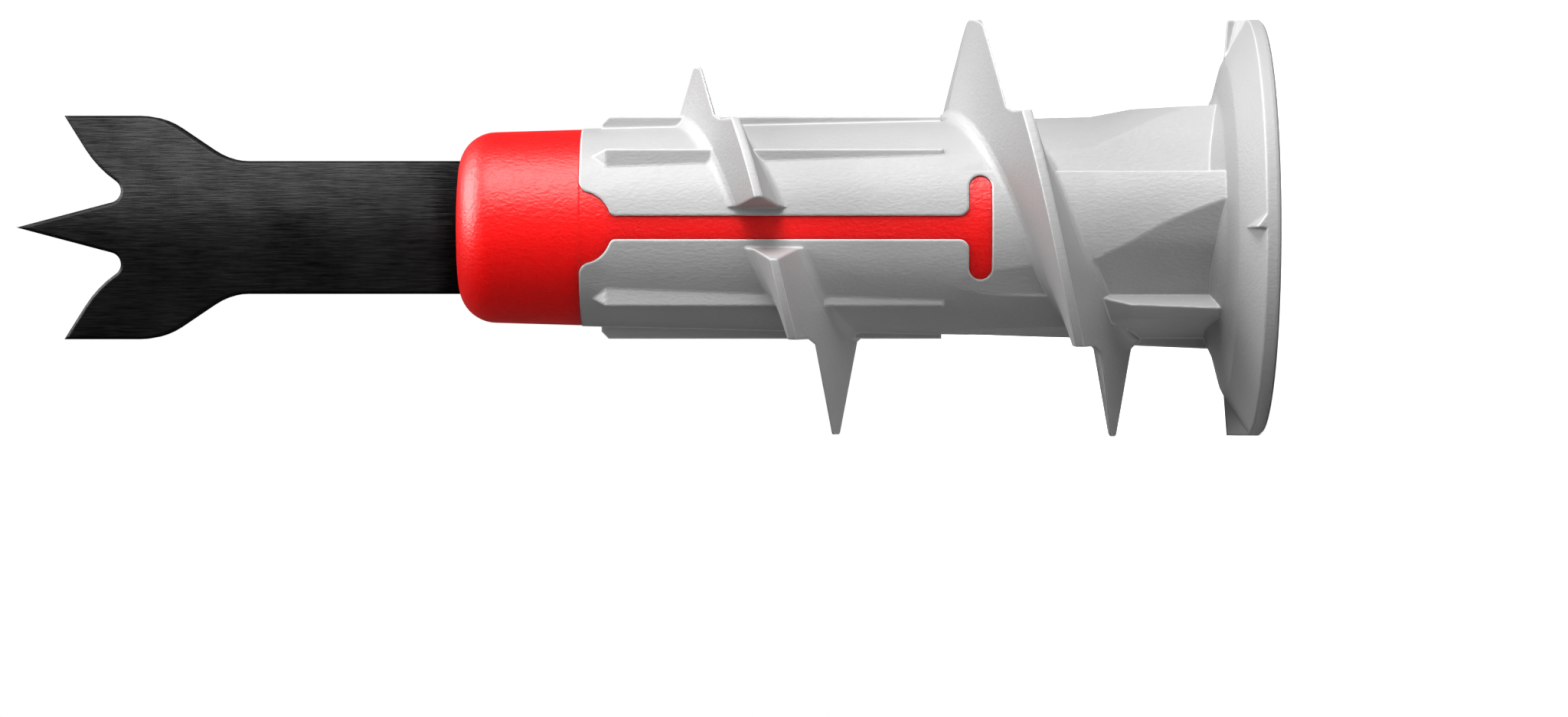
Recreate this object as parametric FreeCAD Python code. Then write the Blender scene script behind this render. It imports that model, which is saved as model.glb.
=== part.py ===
import FreeCAD, Part
import math
import os

from FreeCAD import Vector

# Self-drilling anchor for plasterboard. It stands on the outer face of its flange.
# +Z runs from that face to the point of the blade, and X and Y are zero on the axis.
# A turn is an angle about +Z in degrees, measured from the -Y side towards +X.
# The two halves of the mould part on the plane Y = 0, so the faces that run
# along Y are the draw faces. All lengths are in millimetres.

# Heights of the main stations
tip_height = 44.0
nose_front = 28.35
sleeve_front = 24.0
tang_foot = 20.6
core_foot = 20.0

# Blade
blade_thickness = 1.2
blade_half_width = 3.95
centre_half_angle = 14.8
notch_depth = 3.69
notch_radius = 0.42
notch_mouth_angle = 35.0
tooth_angle = 58.0
tooth_drop = 1.7
side_drop = 4.4
shoulder_angle = 34.0
shoulder_top_radius = 2.4
shoulder_foot_radius = 2.3
shank_half_width = 2.35
blade_edge_break = 0.09
flat_tolerance = 0.01

# Nose
nose_base_radius = 3.47
nose_tip_radius = 3.38
nose_rounding = 1.3
nose_rounding_pull = 0.55
core_radius = 2.8

# Flange
flange_radius = 7.37
flange_corner = 0.1
rim_height = 0.5
flat_radius = 5.86
flat_height = 1.3
hub_radius = 4.75
hub_height = 1.6
hub_slope = 0.48

# Ratchet teeth on the underside of the flange. Each pair stands on opposite sides.
# A row gives the turn, the radius where the ridge starts, its height at the rim and
# the angle that the ramp takes. A ramp with a minus sign falls the other way.
flange_teeth = [
    (0.0, 6.25, 0.86, 8.7),
    (90.0, 5.9, 1.17, 18.0),
    (90.0, 6.25, 0.84, -11.0),
]
flange_tooth_overrun = 2.2

# Sleeve body, as radius and height
neck_cone_top = 6.0
neck_cone_radius = 3.92
body_mid_height = 11.1
body_mid_radius = 3.79
body_front_radius = 3.5
neck_rib_half = 4.38
neck_rib_taper = 0.043

# Saw teeth round the neck: two flats each, given by distance and turn
low_flat_distance = 3.793
low_flat_turn = -30.7
high_flat_distance = 4.044
high_flat_turn = -19.4
neck_tooth_step = 61.0
neck_knee_radius = 2.6
neck_draw_face = 1.955
neck_radial_face = -38.0
neck_reach = 7.0

# The neck's last tooth on each side has one flat, and a cone of its own bounds its crest
cheek_flat_turn = -76.3
cheek_foot_radius = 4.6
cheek_knee_radius = 4.36
cheek_knee_height = 4.8

# Thread
thread_pitch = 9.8
first_spike_height = 19.92
first_spike_turn = 90.0
thread_inner_radius = 2.9
root_rounding = 0.32
sample_angle = 22.5
spike_count = 4
shoulder_half_base = 4.24
shoulder_taper = 0.0245
spike_foot_radius = 0.18
spike_foot_depth = 0.3
spike_crest_break = 0.07
notch_half_inner = 0.7
notch_half_outer = 1.02
notch_inner_radius = 3.6
notch_outer_radius = 6.2

# Ribs along the front half
bar_half_x = 2.74
bar_half_y = 2.82
bar_tip_half = 2.5
rib_front = 23.56
rib_taper_length = 0.49
rib_foot = 11.3
fin_reach = 3.93
fin_thickness = 0.9
fin_corner = 0.25

# Slits and the strips that fill them
strip_half_width = 0.405
bar_low = 9.64
bar_high = 10.44
bar_half_span = 1.8
bar_inner_fillet = 0.36
funnel_outer_x = 1.6
funnel_length = 1.3
funnel_lip_run = 0.37
funnel_lip_drop = 0.3
funnel_lip_radius = 0.42
funnel_bowl_radius = 1.09
funnel_throat_run = 0.155
funnel_throat_rise = 0.23
funnel_throat_radius = 0.23
strip_recess = 0.05

# Bore and driver recess
guide_radius = 2.3
guide_depth = 8.4
grip_radius = 1.55
grip_start = 9.3
seat_radius = 3.9
recess_depth = 3.6
recess_reach = 3.3
recess_width = 1.25

# The thread's rounded root, as shares of its rounding: rise above the body and run outwards
root_steps = [
    (0.3, 0.2),
    (-0.1, 0.85),
]

# Half size of a block that reaches past the whole part
past_everything = 2 * flange_radius

# Thread stations: turn, crest radius, half width of the crest, slope of the flanks
thread_stations = [
    (170.0, 3.4, 0.10, 0.30),
    (90.0, 5.66, 0.135, 0.293),
    (-90.0, 7.33, 0.135, 0.190),
    (-270.0, 7.37, 0.20, 0.230),
    (-360.0, 7.37, 0.16, 0.200),
    (-450.0, 7.37, 0.135, 0.174),
    (-540.0, 3.6, 0.135, 0.200),
]


def sine(angle):
    return math.sin(math.radians(angle))


def cosine(angle):
    return math.cos(math.radians(angle))


def polar(radius, turn, height):
    """A point at a turn about the axis."""
    return Vector(radius * sine(turn), -radius * cosine(turn), height)


def side(x, z):
    """A point of an outline drawn on the parting plane."""
    return Vector(x, 0.0, z)


def line(start, end):
    return Part.LineSegment(start, end).toShape()


def arc(start, middle, end):
    return Part.Arc(start, middle, end).toShape()


def arc_of_radius(start, end, radius):
    """An arc between two outline points. A minus sign makes it bulge to the other side."""
    chord = end - start
    half = chord.Length / 2
    bulge = abs(radius) - math.sqrt(radius ** 2 - half ** 2)
    across = side(chord.z, -chord.x).normalize() * math.copysign(bulge, radius)
    return arc(start, (start + end) / 2 + across, end)


def revolve(points):
    """A solid of revolution from radius and height pairs, closed along the axis."""
    corners = [side(x, z) for x, z in points]
    outline = Part.makePolygon(corners + [corners[0]])
    return Part.Face(outline).revolve(Vector(), Vector(0, 0, 1), 360)


def extrude_along_y(edges, half_depth):
    """A solid from an outline on the parting plane, drawn out to both sides."""
    face = Part.Face(Part.Wire(edges))
    face.translate(Vector(0, -half_depth, 0))
    return face.extrude(Vector(0, 2 * half_depth, 0))


def mirrored(edge):
    return edge.mirror(Vector(), Vector(1, 0, 0))


def extrude_points(points, half_depth):
    corners = [side(x, z) for x, z in points]
    ring = corners + [corners[0]]
    edges = [line(start, end) for start, end in zip(ring, ring[1:])]
    return extrude_along_y(edges, half_depth)


def tapered_slab(half_base, taper, top):
    """A slab between two draft planes that lean towards the axis with height."""
    half_top = half_base - taper * top
    points = [(-half_base, 0), (half_base, 0), (half_top, top), (-half_top, top)]
    return extrude_points(points, past_everything)


def cut_all(solid, tools):
    for tool in tools:
        solid = solid.cut(tool)
    return solid


def single_solid(shape):
    """The one solid that a boolean leaves, with its split faces joined again."""
    merged = shape.removeSplitter()
    return max(merged.Solids, key=lambda solid: solid.Volume)


# Blade

def notch_edges():
    """One side from the centre point to the outer point: flank, notch and tooth edge."""
    lean_sin = sine(centre_half_angle)
    lean_cos = cosine(centre_half_angle)
    centre_z = tip_height - notch_depth + notch_radius
    centre_x = (notch_radius + (tip_height - centre_z) * lean_sin) / lean_cos
    tip = side(0, tip_height)
    flank_end = side(centre_x - notch_radius * lean_cos, centre_z - notch_radius * lean_sin)
    bottom = side(centre_x, centre_z - notch_radius)
    mouth = side(
        centre_x + notch_radius * cosine(notch_mouth_angle),
        centre_z - notch_radius * sine(notch_mouth_angle),
    )
    outer = side(blade_half_width, tip_height - tooth_drop)
    swing = tooth_angle - notch_mouth_angle
    middle_angle = (tooth_angle + notch_mouth_angle) / 2
    miss = (outer.z - mouth.z) * sine(tooth_angle) - (outer.x - mouth.x) * cosine(tooth_angle)
    radius = miss / (2 * sine(swing / 2) ** 2)
    hub = mouth + side(cosine(notch_mouth_angle), -sine(notch_mouth_angle)) * radius
    middle = hub + side(-cosine(middle_angle), sine(middle_angle)) * radius
    tooth_start = hub + side(-cosine(tooth_angle), sine(tooth_angle)) * radius
    return [
        line(tip, flank_end),
        arc(flank_end, bottom, mouth),
        arc(mouth, middle, tooth_start),
        line(tooth_start, outer),
    ]


def shoulder_edges():
    """One side from the outer point down to the foot of the tang."""
    outer = side(blade_half_width, tip_height - tooth_drop)
    top = side(blade_half_width, tip_height - side_drop)
    half = shoulder_angle / 2
    top_hub = top - side(shoulder_top_radius, 0)
    top_middle = top_hub + side(cosine(half), -sine(half)) * shoulder_top_radius
    top_end = top_hub + side(cosine(shoulder_angle), -sine(shoulder_angle)) * shoulder_top_radius
    radii = shoulder_top_radius + shoulder_foot_radius
    narrowing = blade_half_width - shank_half_width
    straight_x = narrowing - radii * (1 - cosine(shoulder_angle))
    straight_z = straight_x / math.tan(math.radians(shoulder_angle))
    foot_start = top_end - side(straight_x, straight_z)
    foot_z = foot_start.z - shoulder_foot_radius * sine(shoulder_angle)
    foot_hub = side(shank_half_width + shoulder_foot_radius, foot_z)
    foot_middle = foot_hub + side(-cosine(half), sine(half)) * shoulder_foot_radius
    foot = side(shank_half_width, foot_z)
    return [
        line(outer, top),
        arc(top, top_middle, top_end),
        line(top_end, foot_start),
        arc(foot_start, foot_middle, foot),
        line(foot, side(shank_half_width, tang_foot)),
    ]


def make_blade():
    right = notch_edges() + shoulder_edges()
    left = [mirrored(edge) for edge in right]
    foot = line(side(shank_half_width, tang_foot), side(-shank_half_width, tang_foot))
    ordered = Part.__sortEdges__(right + [foot] + left)
    plate = extrude_along_y(ordered, blade_thickness / 2)
    rims = [edge for edge in plate.Edges if lies_in_a_face(edge)]
    return plate.makeChamfer(blade_edge_break, rims)


def lies_in_a_face(edge):
    """True for the rim edges of the two broad faces of the blade."""
    box = edge.BoundBox
    return box.YLength < flat_tolerance


# Sleeve

def cone_radius(height):
    """Outer radius of the plain sleeve body."""
    stations = [
        (hub_height, hub_radius),
        (neck_cone_top, neck_cone_radius),
        (body_mid_height, body_mid_radius),
        (sleeve_front, body_front_radius),
    ]
    for (low, low_radius), (high, high_radius) in zip(stations, stations[1:]):
        if height <= high:
            share = (height - low) / (high - low)
            return low_radius + share * (high_radius - low_radius)
    return body_front_radius


def body_profile(recess):
    """Half outline of the body, drawn in by a recess."""
    base = hub_height / 2
    points = [(0, base), (cone_radius(base) - recess, base)]
    points.append((neck_cone_radius - recess, neck_cone_top))
    points.append((body_mid_radius - recess, body_mid_height))
    points.append((body_front_radius - recess, sleeve_front))
    points.append((0, sleeve_front))
    return points


def flat_line(distance, turn):
    """A line of the saw-tooth section: its normal and its distance from the axis."""
    return sine(turn), -cosine(turn), distance


def meet(first, second):
    """The point where two such lines cross."""
    a, b, p = first
    c, d, q = second
    scale = a * d - b * c
    return Vector((p * d - b * q) / scale, (a * q - p * c) / scale, 0)


def rounding(before, corner, after, radius):
    """Start, middle and end of the arc that rounds a corner between two straight edges."""
    first = (before - corner).normalize()
    second = (after - corner).normalize()
    inward = (first + second).normalize()
    half = first.getAngle(second) / 2
    reach = radius / math.tan(half)
    middle = corner + inward * (radius / math.sin(half) - radius)
    return corner + first * reach, middle, corner + second * reach


def saw_tooth_section():
    """The neck's section: three saw teeth a half, the same again half a turn on."""
    parting = (0.0, 1.0, 0.0)
    draw_face = (1.0, 0.0, neck_draw_face)
    radial_face = (cosine(neck_radial_face), sine(neck_radial_face), 0.0)
    faces = [parting, draw_face, radial_face]
    edges = []
    corners = []
    for index, face in enumerate(faces[:-1]):
        shift = (1 - index) * neck_tooth_step
        high = flat_line(high_flat_distance, high_flat_turn + shift)
        low = flat_line(low_flat_distance, low_flat_turn + shift)
        start = meet(face, high)
        end = meet(low, faces[index + 1])
        knee = rounding(start, meet(high, low), end, neck_knee_radius)
        edges += [line(start, knee[0]), arc(*knee), line(knee[2], end)]
        corners += [start, end]
    cheek = flat_line(low_flat_distance, cheek_flat_turn)
    corners += [meet(radial_face, cheek), meet(cheek, parting)]
    edges.append(line(corners[-2], corners[-1]))
    for end, start in zip(corners[1::2], corners[2::2]):
        edges.append(line(end, start))
    edges.append(line(corners[-1], -corners[0]))
    other = [edge.copy().rotate(Vector(), Vector(0, 0, 1), 180) for edge in edges]
    return Part.Wire(Part.__sortEdges__(edges + other))


def make_cheek_room():
    """The two sectors of the neck that its last teeth fill."""
    corners = [Vector(), polar(past_everything, neck_radial_face, 0), Vector(-past_everything, 0, 0)]
    room = Part.Face(Part.makePolygon(corners + [corners[0]])).extrude(Vector(0, 0, neck_cone_top))
    other = room.copy()
    other.rotate(Vector(), Vector(0, 0, 1), 180)
    return room.fuse(other)


def make_neck_and_body():
    base = hub_height / 2
    cheek_points = [
        (0, base),
        (cheek_foot_radius, base),
        (cheek_knee_radius, cheek_knee_height),
        (neck_cone_radius, neck_cone_top),
        (0, neck_cone_top),
    ]
    room = make_cheek_room()
    body = revolve(body_profile(0.0)).cut(room)
    body = body.fuse(revolve(cheek_points).common(room))
    saw = Part.Face(saw_tooth_section()).extrude(Vector(0, 0, sleeve_front))
    slab = tapered_slab(neck_rib_half, neck_rib_taper, neck_reach)
    body = body.common(saw)
    waist = Part.makeCylinder(flange_radius, tip_height, Vector(0, 0, neck_reach))
    return body.common(slab.fuse(waist))


def make_flange():
    """The flange with its rim, its sloping underside and the hub that carries the neck."""
    core_top = hub_height + (hub_radius - guide_radius) * hub_slope
    points = [
        (0, 0),
        (flange_radius - flange_corner, 0),
        (flange_radius, flange_corner),
        (flange_radius, rim_height),
        (flat_radius, flat_height),
        (hub_radius, hub_height),
        (guide_radius, core_top),
        (0, core_top),
    ]
    flange = revolve(points)
    for turn, inner_radius, outer_height, angle in flange_teeth:
        for opposite in (0, 180):
            tooth = make_flange_tooth(inner_radius, outer_height, angle)
            tooth.rotate(Vector(), Vector(0, 0, 1), turn + opposite)
            flange = flange.fuse(tooth)
    return flange


def underside_height(radius):
    """Height of the flange's sloping outer underside."""
    fall = (flat_height - rim_height) / (flange_radius - flat_radius)
    return flat_height - fall * (radius - flat_radius)


def make_flange_tooth(inner_radius, outer_height, angle):
    """A ramp on the underside: a step on one side, running out on the other."""
    reach = flange_radius + flange_tooth_overrun
    inner_height = underside_height(inner_radius)
    slope = (inner_height - outer_height) / (flange_radius - inner_radius)
    inner_step = polar(inner_radius, 0, inner_height)
    outer_step = polar(reach, 0, inner_height - slope * (reach - inner_radius))
    inner_out = polar(inner_radius, angle, inner_height)
    outer_out = polar(reach, angle, underside_height(reach))
    top = [inner_step, outer_step, outer_out, inner_out]
    base = [Vector(p.x, p.y, -flange_radius) for p in top]
    rings = [
        [top[0], top[1], top[2]],
        [top[0], top[2], top[3]],
        [base[0], base[1], base[2], base[3]],
        [top[0], top[1], base[1], base[0]],
        [top[1], top[2], base[2], base[1]],
        [top[2], top[3], base[3], base[2]],
        [top[3], top[0], base[0], base[3]],
    ]
    faces = [Part.Face(Part.makePolygon(ring + [ring[0]])) for ring in rings]
    wedge = Part.Solid(Part.Shell(faces))
    if wedge.Volume < 0:
        wedge.reverse()
    rim = Part.makeCylinder(flange_radius, flat_height, Vector(0, 0, flange_corner))
    return wedge.common(rim)


def thread_station(turn):
    """Crest radius, half width of the crest and flank slope at a turn."""
    for upper, lower in zip(thread_stations, thread_stations[1:]):
        if turn >= lower[0]:
            share = (upper[0] - turn) / (upper[0] - lower[0])
            eased = (1 - math.cos(math.pi * share)) / 2
            return [a + (b - a) * eased for a, b in zip(upper[1:], lower[1:])]
    return list(thread_stations[-1][1:])


def thread_height(turn):
    return first_spike_height + thread_pitch * (turn - first_spike_turn) / 360.0


def thread_section(turn):
    """Radius and half width of the ridge, from the crest down to its rounded root."""
    crest, crest_half, slope = thread_station(turn)
    body = cone_radius(thread_height(turn))
    foot = min(body, crest - root_rounding)
    shoulder = foot + root_rounding
    section = [(crest, crest_half), (shoulder, crest_half + slope * (crest - shoulder))]
    foot_half = crest_half + slope * (crest - foot)
    for rise, run in root_steps:
        section.append((foot + rise * root_rounding, foot_half + run * root_rounding))
    section.append((thread_inner_radius, section[-1][1]))
    return section


def make_ridge():
    """The full helical ridge, skinned between curves that follow the stations."""
    start = thread_stations[0][0]
    end = thread_stations[-1][0]
    steps = round((start - end) / sample_angle)
    shares = [index / steps for index in range(steps + 1)]
    sections = [ring_points(start + (end - start) * share) for share in shares]
    curves = []
    for track in zip(*sections):
        curve = Part.BSplineCurve()
        curve.interpolate(Points=list(track), Parameters=shares)
        curves.append(curve)
    around = curves + [curves[0]]
    faces = [strip_between(a, b) for a, b in zip(around, around[1:])]
    for section in (sections[0], sections[-1]):
        faces.append(Part.Face(Part.makePolygon(section + [section[0]])))
    shell = Part.Shell(faces)
    shell.sewShape()
    ridge = Part.Solid(shell)
    if ridge.Volume < 0:
        ridge.reverse()
    return ridge


def strip_between(first, second):
    """The ruled face between two curves that share their knots."""
    surface = Part.BSplineSurface()
    surface.buildFromPolesMultsKnots(
        [first.getPoles(), second.getPoles()],
        [2, 2],
        first.getMultiplicities(),
        [0.0, 1.0],
        first.getKnots(),
        False,
        False,
        1,
        first.Degree,
    )
    return surface.toShape()


def ring_points(turn):
    """The corners of the ridge's section at a turn, up one flank and down the other."""
    height = thread_height(turn)
    section = thread_section(turn)
    low = [polar(radius, turn, height - half) for radius, half in reversed(section)]
    high = [polar(radius, turn, height + half) for radius, half in section]
    return low + high


def spike_block(turn):
    """The draw-shaped block that bounds the thread at the parting plane."""
    crest, crest_half, slope = thread_station(turn)
    height = thread_height(turn)
    sign = 1 if sine(turn) > 0 else -1
    shoulder = shoulder_half_base - shoulder_taper * height
    foot = shoulder - spike_foot_depth
    flank_top = crest - spike_crest_break
    foot_rise = shoulder + spike_foot_radius
    rows = [
        (foot, crest_half + slope * (crest - foot) + 2 * spike_foot_radius),
        (shoulder, crest_half + slope * (crest - shoulder) + spike_foot_radius),
        (foot_rise, crest_half + slope * (crest - foot_rise)),
        (flank_top, crest_half + slope * spike_crest_break),
        (crest + spike_crest_break, crest_half - spike_crest_break),
    ]
    low = [(sign * radius, height - half) for radius, half in rows]
    high = [(sign * radius, height + half) for radius, half in reversed(rows)]
    return extrude_points(low + high, flange_radius)


def make_thread():
    """The ridge kept between the shoulder planes and inside the four spikes."""
    room = tapered_slab(shoulder_half_base, shoulder_taper, tip_height)
    for index in range(spike_count):
        room = room.fuse(spike_block(first_spike_turn - 180 * index))
    thread = make_ridge().common(room)
    return thread.cut(thread_gap())


def thread_gap():
    """Two tapered gaps that part the thread where the slits cross it."""
    growth = (notch_half_outer - notch_half_inner) / (notch_outer_radius - notch_inner_radius)
    far = past_everything
    near = grip_radius
    near_half = notch_half_inner - growth * (notch_inner_radius - near)
    far_half = notch_half_inner + growth * (far - notch_inner_radius)
    points = [(-near_half, -near), (near_half, -near), (far_half, -far), (-far_half, -far)]
    corners = [Vector(x, y, bar_high) for x, y in points]
    gap = Part.Face(Part.makePolygon(corners + [corners[0]]))
    gap = gap.extrude(Vector(0, 0, sleeve_front - bar_high))
    other = gap.copy()
    other.rotate(Vector(), Vector(0, 0, 1), 180)
    return gap.fuse(other)


def make_ribs():
    """A square bar whose four corners stand out of the body, and two fins on the parting plane."""
    bar_top = rib_front - rib_taper_length
    bar = Part.makeBox(
        2 * bar_half_x,
        2 * bar_half_y,
        bar_top - rib_foot,
        Vector(-bar_half_x, -bar_half_y, rib_foot),
    )
    ends = []
    for half_x, half_y, height in (
        (bar_half_x, bar_half_y, bar_top),
        (bar_tip_half, bar_tip_half, rib_front),
    ):
        corners = [(half_x, half_y), (-half_x, half_y), (-half_x, -half_y), (half_x, -half_y)]
        points = [Vector(x, y, height) for x, y in corners]
        ends.append(Part.makePolygon(points + [points[0]]))
    point = Part.makeLoft(ends, True, True)
    fin_front = rib_front - fin_corner
    fin_points = [
        (-fin_reach, rib_foot),
        (fin_reach, rib_foot),
        (fin_reach, fin_front - fin_corner),
        (fin_reach - fin_corner, fin_front),
        (-fin_reach + fin_corner, fin_front),
        (-fin_reach, fin_front - fin_corner),
    ]
    fin = extrude_points(fin_points, fin_thickness / 2)
    return bar.fuse(point).fuse(fin)


# Slits, bore and recess

def slit_half_outline():
    """Half of the slit's outline, from the sleeve's front down to the middle of the T-bar."""
    x = strip_half_width
    top = sleeve_front
    lip = side(funnel_outer_x, top)
    lip_end = side(funnel_outer_x - funnel_lip_run, top - funnel_lip_drop)
    throat = side(x, top - funnel_length)
    bowl_end = throat + side(funnel_throat_run, funnel_throat_rise)
    fillet = bar_inner_fillet
    swing = fillet * (1 - math.sqrt(0.5))
    corner_start = side(x, bar_high + fillet)
    corner_middle = side(x + swing, bar_high + swing)
    corner_end = side(x + fillet, bar_high)
    round_radius = (bar_high - bar_low) / 2
    round_x = bar_half_span - round_radius
    return [
        line(side(0, top), lip),
        arc_of_radius(lip, lip_end, funnel_lip_radius),
        arc_of_radius(lip_end, bowl_end, -funnel_bowl_radius),
        arc_of_radius(bowl_end, throat, funnel_throat_radius),
        line(throat, corner_start),
        arc(corner_start, corner_middle, corner_end),
        line(corner_end, side(round_x, bar_high)),
        arc(side(round_x, bar_high), side(bar_half_span, bar_low + round_radius), side(round_x, bar_low)),
        line(side(round_x, bar_low), side(0, bar_low)),
    ]


def make_slit_block():
    """The block through both walls that the slits remove and the strips fill."""
    right = slit_half_outline()
    left = [mirrored(edge) for edge in right]
    return extrude_along_y(Part.__sortEdges__(right + left), hub_radius)


def make_bore():
    """Screw hole: seat for the head, guide bore, cone and grip bore."""
    seat_depth = seat_radius - guide_radius
    points = [
        (0, 0),
        (seat_radius, 0),
        (guide_radius, seat_depth),
        (guide_radius, guide_depth),
        (grip_radius, grip_start),
        (grip_radius, core_foot),
        (0, core_foot),
    ]
    return revolve(points)


def make_recess():
    """Cross recess for the driver, tapering with depth."""
    points = [
        (-recess_reach, 0),
        (recess_reach, 0),
        (guide_radius, recess_depth),
        (-guide_radius, recess_depth),
    ]
    wing = extrude_points(points, recess_width / 2)
    other = wing.copy()
    other.rotate(Vector(), Vector(0, 0, 1), 90)
    cross = wing.fuse(other)
    cross.rotate(Vector(), Vector(0, 0, 1), 45)
    return cross


def make_core():
    return Part.makeCylinder(core_radius, sleeve_front - core_foot, Vector(0, 0, core_foot))


def make_sleeve():
    outer = make_neck_and_body().fuse(make_flange())
    outer = outer.fuse(make_ribs())
    outer = outer.fuse(make_thread())
    tools = [make_bore(), make_recess(), make_slit_block(), make_core()]
    return single_solid(cut_all(outer, tools))


# Nose insert

def make_nose_cap():
    """The rounded nose in front of the sleeve."""
    side_end = side(nose_tip_radius, nose_front - nose_rounding)
    front_end = side(nose_tip_radius - nose_rounding, nose_front)
    pull = nose_rounding_pull * nose_rounding
    rounding_curve = Part.BezierCurve()
    rounding_curve.setPoles([side_end, side_end + side(0, pull), front_end + side(pull, 0), front_end])
    edges = [
        line(side(0, sleeve_front), side(nose_base_radius, sleeve_front)),
        line(side(nose_base_radius, sleeve_front), side_end),
        rounding_curve.toShape(),
        line(front_end, side(0, nose_front)),
        line(side(0, nose_front), side(0, sleeve_front)),
    ]
    return Part.Face(Part.Wire(edges)).revolve(Vector(), Vector(0, 0, 1), 360)


def make_nose(blade):
    strips = revolve(body_profile(strip_recess)).common(make_slit_block())
    nose = strips.cut(make_bore()).fuse(make_core())
    nose = nose.fuse(make_nose_cap())
    return single_solid(nose.cut(blade))


def main():
    os.makedirs("parts", exist_ok=True)
    blade = make_blade()
    pieces = {
        "drill_blade": blade,
        "anchor_sleeve": make_sleeve(),
        "nose_insert": make_nose(blade),
    }
    for name, piece in pieces.items():
        solid = piece.Solids[0]
        print(name, len(piece.Solids), solid.isValid(), round(solid.Volume, 2), len(solid.Faces))
        solid.exportStep("parts/" + name + ".step")


main()
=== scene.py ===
import bpy
from mathutils import Matrix, Vector


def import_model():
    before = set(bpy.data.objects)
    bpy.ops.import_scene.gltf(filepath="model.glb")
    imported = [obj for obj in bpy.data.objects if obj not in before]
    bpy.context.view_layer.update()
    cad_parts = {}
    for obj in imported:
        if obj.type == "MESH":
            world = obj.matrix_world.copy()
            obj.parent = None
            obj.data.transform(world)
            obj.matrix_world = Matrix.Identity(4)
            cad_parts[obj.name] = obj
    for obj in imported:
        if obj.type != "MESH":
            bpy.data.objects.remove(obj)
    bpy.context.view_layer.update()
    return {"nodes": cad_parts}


# A self-drilling plasterboard anchor: blackened steel blade, red nose, grey threaded sleeve.
# The frame is in metres. +Z runs from the outer face of the flange to the blade's point.
MM = 0.001

# Photograph's view, in its own 2048 x 936 pixels
PHOTO_WIDTH = 2048
PHOTO_HEIGHT = 936
PIXELS_PER_MM = 36.83
FLANGE_COLUMN = 1645
AXIS_ROW = 297
CAMERA_DISTANCE = 162.9 * MM

# Width of the camera's sensor, in the millimetres that Blender gives its lens in
SENSOR_WIDTH = 36.0

# Point that every lamp is turned to, in millimetres
LAMP_AIM = (0, 0, 20)

# Share of the white background that gloss and metal reflect
REFLECTED_BACKGROUND = 0.08

# Strength of the light that the background gives from all round
FILL_LIGHT = 0.04

# Floor: length of its sides, how far from the object it shows a shadow, and how strongly
# it glows to the camera there
FLOOR_SIZE = 3.0
FLOOR_SHADOW_REACH = 60 * MM
FLOOR_GLOW = 0.86

# Radius of the round that a moulded or broken edge has, for each material
NYLON_EDGE = 0.14 * MM
PLASTIC_EDGE = 0.08 * MM
STEEL_EDGE = 0.08 * MM

# The rolled strip of the blade: half width of its flatter middle, and slope beside it
CROWN_HALF_WIDTH = 1.2 * MM
CROWN_SLOPE = 0.31

# Height of the nose's front face, from which the blade stands out, and the length of
# blade beside it that is painted darker, as shade from the nose
NOSE_FACE = 28.35 * MM
NOSE_SHADE_LENGTH = 1.0 * MM


def linear(hex_colour):
    """Turn an sRGB hex colour into the linear values that a shader takes."""
    values = [int(hex_colour[i:i + 2], 16) / 255 for i in (1, 3, 5)]
    light = [v / 12.92 if v <= 0.04045 else ((v + 0.055) / 1.055) ** 2.4 for v in values]
    return (*light, 1.0)


def add_node(tree, kind, feeds=(), **settings):
    """Add one node. Feeds give its inputs a link or a value; settings name a property of
    the node, or an input with _ for each space."""
    node = tree.nodes.new(kind)
    for name, value in settings.items():
        if hasattr(node, name):
            setattr(node, name, value)
        else:
            node.inputs[name.replace("_", " ")].default_value = value
    for socket, source in feeds:
        if isinstance(source, bpy.types.NodeSocket):
            tree.links.new(source, node.inputs[socket])
        else:
            node.inputs[socket].default_value = source
    return node


def new_material(name):
    material = bpy.data.materials.new(name)
    material.use_nodes = True
    material.node_tree.nodes.clear()
    return material, material.node_tree


# Camera and light

def place_camera():
    """The photograph lies the anchor on its side, so the camera is rolled: its up is +X."""
    data = bpy.data.cameras.new("camera")
    camera = bpy.data.objects.new("camera", data)
    bpy.context.scene.collection.objects.link(camera)
    data.sensor_width = SENSOR_WIDTH
    data.lens = SENSOR_WIDTH * CAMERA_DISTANCE / MM * PIXELS_PER_MM / PHOTO_WIDTH
    data.shift_y = (AXIS_ROW - PHOTO_HEIGHT / 2) / PHOTO_WIDTH
    data.clip_start = 0.005
    data.clip_end = 10.0
    height = (FLANGE_COLUMN - PHOTO_WIDTH / 2) / PIXELS_PER_MM * MM
    right = Vector((0, 0, -1))
    up = Vector((1, 0, 0))
    back = right.cross(up)
    turn = Matrix((right, up, back)).transposed().to_4x4()
    camera.matrix_world = Matrix.Translation((0, -CAMERA_DISTANCE, height)) @ turn
    bpy.context.scene.camera = camera


def place_softbox(name, place, size, power):
    """A rectangular lamp turned to the object. Place and size are in millimetres."""
    data = bpy.data.lights.new(name, "AREA")
    data.shape = "RECTANGLE"
    data.size, data.size_y = (edge * MM for edge in size)
    data.energy = power
    lamp = bpy.data.objects.new(name, data)
    bpy.context.scene.collection.objects.link(lamp)
    start = Vector(place) * MM
    direction = Vector(LAMP_AIM) * MM - start
    lamp.location = start
    lamp.rotation_euler = direction.to_track_quat("-Z", "Y").to_euler()
    return lamp


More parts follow.
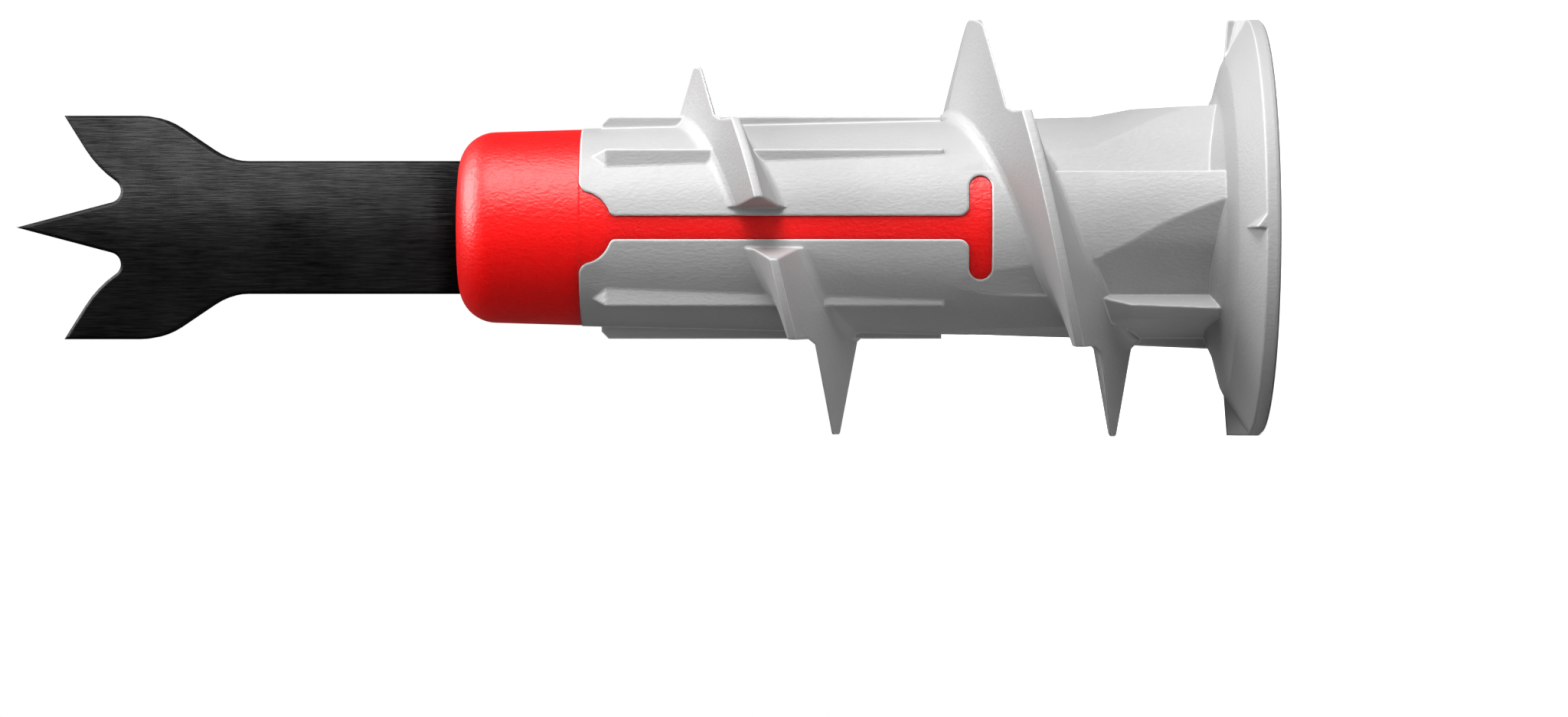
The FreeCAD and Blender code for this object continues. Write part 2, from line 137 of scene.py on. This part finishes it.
def light_the_object():
    """Two softboxes light the object. A third shows in gloss alone, most of all as the broad
    highlight on the nose. Two fills lift the shaded side and the back, and show in no gloss."""
    place_softbox("key_softbox", place=(223, -129, 60), size=(200, 110), power=1.01)
    place_softbox("tip_softbox", place=(69, -69, 261), size=(140, 140), power=0.54)
    highlight = place_softbox("nose_highlight", place=(120, 0, 251), size=(220, 220), power=1.7)
    low_fill = place_softbox("low_fill", place=(-223, -129, 56), size=(130, 90), power=0.04)
    back_fill = place_softbox("back_fill", place=(0, 250, 60), size=(200, 110), power=0.45)
    highlight.visible_diffuse = False
    low_fill.visible_glossy = False
    back_fill.visible_glossy = False


def white_world():
    """White to the camera, a dimmer version of it in reflections and as light from all round."""
    world = bpy.data.worlds.new("studio")
    bpy.context.scene.world = world
    world.use_nodes = True
    tree = world.node_tree
    tree.nodes.clear()
    path = add_node(tree, "ShaderNodeLightPath")
    unseen = add_node(tree, "ShaderNodeMath", [
        (0, path.outputs["Is Glossy Ray"]),
        (1, REFLECTED_BACKGROUND - FILL_LIGHT),
        (2, FILL_LIGHT),
    ], operation="MULTIPLY_ADD")
    strength = add_node(tree, "ShaderNodeMath", [
        (0, unseen.outputs[0]),
        (1, path.outputs["Is Camera Ray"]),
    ], operation="MAXIMUM")
    white = add_node(tree, "ShaderNodeBackground", [("Strength", strength.outputs[0])],
                     Color=linear("#FFFFFF"))
    add_node(tree, "ShaderNodeOutputWorld", [("Surface", white.outputs[0])])


def make_floor():
    """A plain pale floor under the flange, white to the camera apart from the shadow on it.
    The camera's white grows to full strength away from the object, so no far edge shows.
    The light that it throws back is kept low, so that the shaded side stays dark."""
    bpy.ops.object.select_all(action="DESELECT")
    bpy.ops.mesh.primitive_plane_add(size=FLOOR_SIZE, location=(0, 0, 0))
    floor = bpy.context.object
    floor.name = "floor"
    material, tree = new_material("pale floor")
    path = add_node(tree, "ShaderNodeLightPath")
    place = add_node(tree, "ShaderNodeTexCoord").outputs["Object"]
    distance = add_node(tree, "ShaderNodeVectorMath", [(0, place)], operation="LENGTH")
    glow = add_node(tree, "ShaderNodeMapRange", [("Value", distance.outputs["Value"])],
                    From_Min=FLOOR_SHADOW_REACH, From_Max=3 * FLOOR_SHADOW_REACH,
                    To_Min=FLOOR_GLOW, To_Max=1.0)
    matt = add_node(tree, "ShaderNodeBsdfDiffuse", Color=linear("#DCDCDC"))
    white = add_node(tree, "ShaderNodeEmission", [("Strength", glow.outputs["Result"])],
                     Color=linear("#FFFFFF"))
    seen = add_node(tree, "ShaderNodeAddShader", [(0, matt.outputs[0]), (1, white.outputs[0])])
    unseen = add_node(tree, "ShaderNodeBsdfDiffuse", Color=linear("#B4B4B4"))
    mix = add_node(tree, "ShaderNodeMixShader", [
        (0, path.outputs["Is Camera Ray"]),
        (1, unseen.outputs[0]),
        (2, seen.outputs[0]),
    ])
    add_node(tree, "ShaderNodeOutputMaterial", [("Surface", mix.outputs[0])])
    floor.data.materials.append(material)


# Materials

def edge_turn(tree, radius):
    """The plain normal, and how far a round of this radius along the edges turns it."""
    plain = add_node(tree, "ShaderNodeNewGeometry").outputs["Normal"]
    rounded = add_node(tree, "ShaderNodeBevel", samples=8, Radius=radius)
    turn = add_node(tree, "ShaderNodeVectorMath", [
        (0, rounded.outputs["Normal"]),
        (1, plain),
    ], operation="SUBTRACT")
    return plain, turn.outputs["Vector"]


def edge_normal(tree, plain, turn, push):
    """The normal with the edge's turn pushed further, because an edge catches a line of light."""
    pushed = add_node(tree, "ShaderNodeVectorMath", [
        (0, turn),
        (1, (push, push, push)),
        (2, plain),
    ], operation="MULTIPLY_ADD")
    level = add_node(tree, "ShaderNodeVectorMath", [(0, pushed.outputs["Vector"])],
                     operation="NORMALIZE")
    return level.outputs["Vector"]


def moulded_grey_nylon():
    """Glass-filled nylon from a spark-eroded mould. Its light grey is slightly uneven, its
    gloss is broad and soft, and a fine leather grain breaks the light up. Its edges are
    rounded, and painted paler as a highlight, so that they show as light lines."""
    material, tree = new_material("moulded grey nylon")
    place = add_node(tree, "ShaderNodeTexCoord").outputs["Object"]
    plain, turn = edge_turn(tree, NYLON_EDGE)
    # Shallow waves of the moulding, 0.4 mm apart
    waves = add_node(tree, "ShaderNodeTexNoise", [("Vector", place)],
                     Scale=2.6 / MM, Detail=2.0, Roughness=0.5, Distortion=0.6)
    waved = add_node(tree, "ShaderNodeBump", [
        ("Height", waves.outputs["Fac"]),
        ("Normal", edge_normal(tree, plain, turn, push=1.6)),
    ], Strength=0.2, Distance=0.03 * MM)
    # Grain cells of the mould, 0.1 mm across and nearly twice as long along the axis
    stretch = add_node(tree, "ShaderNodeMapping", [("Vector", place)], Scale=(1.0, 1.0, 0.55))
    grain = add_node(tree, "ShaderNodeTexNoise", [("Vector", stretch.outputs["Vector"])],
                     Scale=10.0 / MM, Detail=1.0, Roughness=0.5, Distortion=0.4)
    grained = add_node(tree, "ShaderNodeBump", [
        ("Height", grain.outputs["Fac"]),
        ("Normal", waved.outputs["Normal"]),
    ], Strength=0.42, Distance=0.03 * MM)
    gloss = add_node(tree, "ShaderNodeMapRange", [("Value", grain.outputs["Fac"])],
                     To_Min=0.46, To_Max=0.58)
    # Slightly uneven grey, in clouds of 4 mm
    clouds = add_node(tree, "ShaderNodeTexNoise", [("Vector", place)],
                      Scale=0.26 / MM, Detail=3.0)
    colour = add_node(tree, "ShaderNodeValToRGB", [("Fac", clouds.outputs["Fac"])])
    colour.color_ramp.elements[0].color = linear("#9F9F9F")
    colour.color_ramp.elements[1].color = linear("#ABABAB")
    # Painted highlight: the colour turns pale along the rounded edges, so they show as light
    # lines
    nearness = add_node(tree, "ShaderNodeVectorMath", [(0, turn)], operation="LENGTH")
    painted_edge_light = add_node(tree, "ShaderNodeMapRange", [("Value", nearness.outputs["Value"])],
                     From_Min=0.3, From_Max=0.6, To_Max=0.85)
    highlighted_colour = add_node(tree, "ShaderNodeMixRGB", [
        ("Fac", painted_edge_light.outputs["Result"]),
        ("Color1", colour.outputs["Color"]),
    ], Color2=linear("#F2F2F2"))
    surface = add_node(tree, "ShaderNodeBsdfPrincipled", [
        ("Normal", grained.outputs["Normal"]),
        ("Base Color", highlighted_colour.outputs["Color"]),
        ("Roughness", gloss.outputs["Result"]),
    ], IOR=1.53, Specular_IOR_Level=0.6)
    add_node(tree, "ShaderNodeOutputMaterial", [("Surface", surface.outputs[0])])
    return material


def moulded_red_plastic():
    """Softer plastic of the second shot. A saturated red that light enters a little way, so
    that its shaded side glows, with a satin gloss and a leather-like grain."""
    material, tree = new_material("moulded red plastic")
    place = add_node(tree, "ShaderNodeTexCoord").outputs["Object"]
    plain, turn = edge_turn(tree, PLASTIC_EDGE)
    # Creases of the leather grain, 0.3 mm apart
    creases = add_node(tree, "ShaderNodeTexNoise", [("Vector", place)],
                       Scale=3.0 / MM, Detail=2.0, Roughness=0.55, Distortion=1.0)
    creased = add_node(tree, "ShaderNodeBump", [
        ("Height", creases.outputs["Fac"]),
        ("Normal", edge_normal(tree, plain, turn, push=1.3)),
    ], Strength=0.4, Distance=0.03 * MM)
    # Its cells, 0.1 mm across and longer along the axis
    stretch = add_node(tree, "ShaderNodeMapping", [("Vector", place)], Scale=(1.0, 1.0, 0.6))
    grain = add_node(tree, "ShaderNodeTexNoise", [("Vector", stretch.outputs["Vector"])],
                     Scale=9.0 / MM, Detail=1.0, Roughness=0.5, Distortion=0.5)
    grained = add_node(tree, "ShaderNodeBump", [
        ("Height", grain.outputs["Fac"]),
        ("Normal", creased.outputs["Normal"]),
    ], Strength=0.5, Distance=0.036 * MM)
    colour = add_node(tree, "ShaderNodeValToRGB", [("Fac", creases.outputs["Fac"])])
    colour.color_ramp.elements[0].color = linear("#F00000")
    colour.color_ramp.elements[1].color = linear("#FF0000")
    surface = add_node(tree, "ShaderNodeBsdfPrincipled", [
        ("Normal", grained.outputs["Normal"]),
        ("Base Color", colour.outputs["Color"]),
    ], Roughness=0.42, IOR=1.5, Specular_IOR_Level=0.42,
        Subsurface_Weight=0.7, Subsurface_Radius=(1.0, 0.1, 0.05), Subsurface_Scale=1.2 * MM)
    add_node(tree, "ShaderNodeOutputMaterial", [("Surface", surface.outputs[0])])
    return material


def blackened_steel():
    """Hardened strip steel, ground along its length and then blackened. Fine streaks run
    along it, and rolling has left the strip slightly crowned across its width."""
    material, tree = new_material("blackened strip steel")
    place = add_node(tree, "ShaderNodeTexCoord").outputs["Object"]
    plain, turn = edge_turn(tree, STEEL_EDGE)
    parts = add_node(tree, "ShaderNodeSeparateXYZ", [("Vector", place)])
    # A hyperbola across the width: flat in the middle, with an even slope to each long edge
    squared = add_node(tree, "ShaderNodeMath", [
        (0, parts.outputs["X"]),
        (1, parts.outputs["X"]),
    ], operation="MULTIPLY")
    offset = add_node(tree, "ShaderNodeMath", [
        (0, squared.outputs[0]),
        (1, CROWN_HALF_WIDTH ** 2),
    ], operation="ADD")
    arch = add_node(tree, "ShaderNodeMath", [(0, offset.outputs[0])], operation="SQRT")
    crown = add_node(tree, "ShaderNodeBump", [
        ("Height", arch.outputs[0]),
        ("Normal", edge_normal(tree, plain, turn, push=1.1)),
    ], invert=True, Strength=1.0, Distance=CROWN_SLOPE)
    # Grinding marks, 0.05 mm wide and about a millimetre long
    stretch = add_node(tree, "ShaderNodeMapping", [("Vector", place)], Scale=(1.0, 1.0, 0.06))
    streaks = add_node(tree, "ShaderNodeTexNoise", [("Vector", stretch.outputs["Vector"])],
                       Scale=19.0 / MM, Detail=2.0, Roughness=0.6)
    streaked = add_node(tree, "ShaderNodeBump", [
        ("Height", streaks.outputs["Fac"]),
        ("Normal", crown.outputs["Normal"]),
    ], Strength=0.8, Distance=0.014 * MM)
    gloss = add_node(tree, "ShaderNodeMapRange", [("Value", streaks.outputs["Fac"])],
                     To_Min=0.42, To_Max=0.58)
    # Uneven blackening, in clouds of 2 mm, and painted shade that is deepest beside the nose.
    clouds = add_node(tree, "ShaderNodeTexNoise", [("Vector", place)],
                      Scale=0.5 / MM, Detail=4.0, Roughness=0.6)
    patchy = add_node(tree, "ShaderNodeMath", [
        (0, streaks.outputs["Fac"]),
        (1, clouds.outputs["Fac"]),
    ], operation="ADD")
    # Painted shade: the blade's colour darkens over the last millimetre before the nose's face
    nose_shade = add_node(tree, "ShaderNodeMapRange", [("Value", parts.outputs["Z"])],
                        From_Min=NOSE_FACE, From_Max=NOSE_FACE + NOSE_SHADE_LENGTH,
                        To_Min=-0.45, To_Max=0.0)
    shade = add_node(tree, "ShaderNodeMath", [
        (0, patchy.outputs[0]),
        (1, nose_shade.outputs["Result"]),
    ], operation="ADD")
    colour = add_node(tree, "ShaderNodeMapRange", [("Value", shade.outputs[0])],
                      From_Min=0.6, From_Max=1.4, To_Min=0.006, To_Max=0.043)
    surface = add_node(tree, "ShaderNodeBsdfPrincipled", [
        ("Normal", streaked.outputs["Normal"]),
        ("Base Color", colour.outputs["Result"]),
        ("Roughness", gloss.outputs["Result"]),
    ], Metallic=1.0, Specular_Tint=linear("#606060"))
    add_node(tree, "ShaderNodeOutputMaterial", [("Surface", surface.outputs[0])])
    return material


def dress_node(node, material):
    node.data.materials.clear()
    node.data.materials.append(material)


def main():
    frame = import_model()
    nodes = frame["nodes"]
    place_camera()
    light_the_object()
    white_world()
    make_floor()
    dress_node(nodes["anchor_sleeve"], moulded_grey_nylon())
    dress_node(nodes["nose_insert"], moulded_red_plastic())
    dress_node(nodes["drill_blade"], blackened_steel())
    bpy.context.scene.view_settings.view_transform = "Standard"


main()
